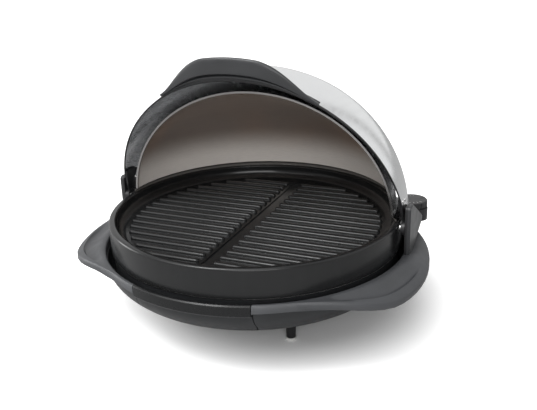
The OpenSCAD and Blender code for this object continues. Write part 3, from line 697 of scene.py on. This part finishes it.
def place_camera():
    ca, sa = unit(BEARING)
    ce, se = unit(LOOK_DOWN)
    cr, sr = unit(ROLL)
    forward = Vector((-sa * ce, ca * ce, -se))
    right = Vector((ca, sa, 0))
    up = right.cross(forward)
    across = right * cr + up * sr
    upright = up * cr - right * sr
    data = bpy.data.cameras.new("photo_camera")
    data.sensor_width = SENSOR
    data.lens = SENSOR * FOCAL_PIXELS / IMAGE_WIDTH
    data.clip_start = 0.05
    data.clip_end = 50
    camera = bpy.data.objects.new("photo_camera", data)
    basis = Matrix((across, upright, -forward)).transposed().to_4x4()
    basis.translation = CAMERA_PLACE
    camera.matrix_world = basis
    scene.collection.objects.link(camera)
    scene.camera = camera


place_camera()

# Floor: half width, grey levels, share that mirrors lose, middle and ends of the shadow's fade, where a
# painted glow lifts the outer shadow
FLOOR_HALF = 12
FLOOR_GREYS = (0.91, 0.93)
MIRROR_LOSS = 0.5
FADE_MIDDLE = (0.02, 0.05, 0)
FADE_FROM, FADE_TO = 0.145, 0.30
FLOOR_GLOW = 0.75

# Room: direction of its darker part behind the camera with the spread and level there, bearing,
# width and level of the gap between two backdrops behind the object, and two strengths of the sky
DARK_SIDE = (0.35, -0.93, 0.1)
DARK_SPREAD = (0.25, 0.85)
DARK_LEVEL = 0.35
GAP_AT = 21
GAP_WIDTH = 8
GAP_LEVEL = 0.62
SKY_FILL = 0.5
BACKDROP = 1.3

# Lamps: the sun's power, spread and direction, then each softbox's place, target, size and power
SUN_POWER = 1.55
SUN_SPREAD = 65
SUN_FROM = (-0.25, -0.55, 1)
SOFTBOXES = {
    "softbox_top": ((-0.35, -0.75, 1.35), (0, -0.05, 0.1), (0.5, 0.5), 9.0),
    "softbox_left": ((-1.5, -0.2, 0.4), (0, 0, 0.12), (0.5, 1.0), 7.0),
    "softbox_front": ((0.9, -2.1, 1.0), (0, 0, 0.2), (1.5, 0.9), 18.0),
}


def make_floor():
    """Pale floor that keeps the shadow near the object; beyond it a camera-only glow, a painted light,
    lifts the outer shadow and turns the floor white.
    """
    s = FLOOR_HALF
    mesh = bpy.data.meshes.new("floor")
    mesh.from_pydata([(-s, -s, 0), (s, -s, 0), (s, s, 0), (-s, s, 0)], [], [(0, 1, 2, 3)])
    floor = bpy.data.objects.new("floor", mesh)
    scene.collection.objects.link(floor)
    g = Graph("floor")
    path = g.add("ShaderNodeLightPath")
    pale = g.ramp(g.noise(*FLOOR_CLOUD), (LOW, FLOOR_GREYS[0]), (HIGH, FLOOR_GREYS[1]))
    loss = g.math("MULTIPLY", path.outputs["Is Glossy Ray"], MIRROR_LOSS)
    away = g.vector_math("DISTANCE", g.place, FADE_MIDDLE, "Value")
    # Glow that grows away from the object: painted light over the outer shadow
    glow = g.remap(away, 0.0, FLOOR_GLOW, FADE_FROM, FADE_TO, "SMOOTHSTEP")
    g.put("Base Color", g.mix(loss, pale, (0, 0, 0)))
    g.put("Roughness", 0.9)
    g.put("Specular IOR Level", 0.1)
    g.put("Emission Color", (1, 1, 1))
    g.put("Emission Strength", g.math("MULTIPLY", path.outputs["Is Camera Ray"], glow))
    floor.data.materials.append(g.mat)


def make_room():
    """White backdrop, and the softer room that fills shadows and shows in bright metal."""
    world = bpy.data.worlds.new("studio")
    scene.world = world
    world.use_nodes = True
    g = Nodes(world.node_tree)
    out = g.add("ShaderNodeOutputWorld")
    back = g.add("ShaderNodeBackground")
    path = g.add("ShaderNodeLightPath")
    camera = path.outputs["Is Camera Ray"]
    glossy = path.outputs["Is Glossy Ray"]
    direction = g.add("ShaderNodeTexCoord").outputs["Generated"]
    ahead = g.vector_math("DOT_PRODUCT", direction, DARK_SIDE, "Value")
    room = g.remap(ahead, 1.0, DARK_LEVEL, *DARK_SPREAD, "SMOOTHSTEP")
    side = g.split(direction)
    turn = g.math("SUBTRACT", g.math("ARCTAN2", side["X"], side["Y"]), math.radians(GAP_AT))
    turn = g.math("ABSOLUTE", turn)
    seam = g.remap(turn, GAP_LEVEL, 1.0, 0.0, math.radians(GAP_WIDTH), "SMOOTHSTEP")
    mirrored = g.math("MULTIPLY", g.math("MULTIPLY", glossy, room), seam)
    other = g.math("SUBTRACT", g.math("SUBTRACT", 1.0, glossy), camera, True)
    total = g.math("ADD", mirrored, g.math("MULTIPLY", other, SKY_FILL))
    total = g.math("ADD", total, g.math("MULTIPLY", camera, BACKDROP))
    g.fill(back.inputs["Strength"], total)
    g.fill(out.inputs[0], back.outputs[0])


def make_lamps():
    data = bpy.data.lights.new("broad_light", "SUN")
    data.energy = SUN_POWER
    data.angle = math.radians(SUN_SPREAD)
    sun = bpy.data.objects.new("broad_light", data)
    sun.rotation_euler = Vector(SUN_FROM).to_track_quat("Z", "Y").to_euler()
    scene.collection.objects.link(sun)
    for name, (place, target, size, power) in SOFTBOXES.items():
        data = bpy.data.lights.new(name, "AREA")
        data.shape = "RECTANGLE"
        data.size, data.size_y = size
        data.energy = power
        lamp = bpy.data.objects.new(name, data)
        lamp.location = place
        lamp.rotation_euler = (Vector(target) - Vector(place)).to_track_quat("-Z", "Y").to_euler()
        scene.collection.objects.link(lamp)


make_floor()
make_room()
make_lamps()
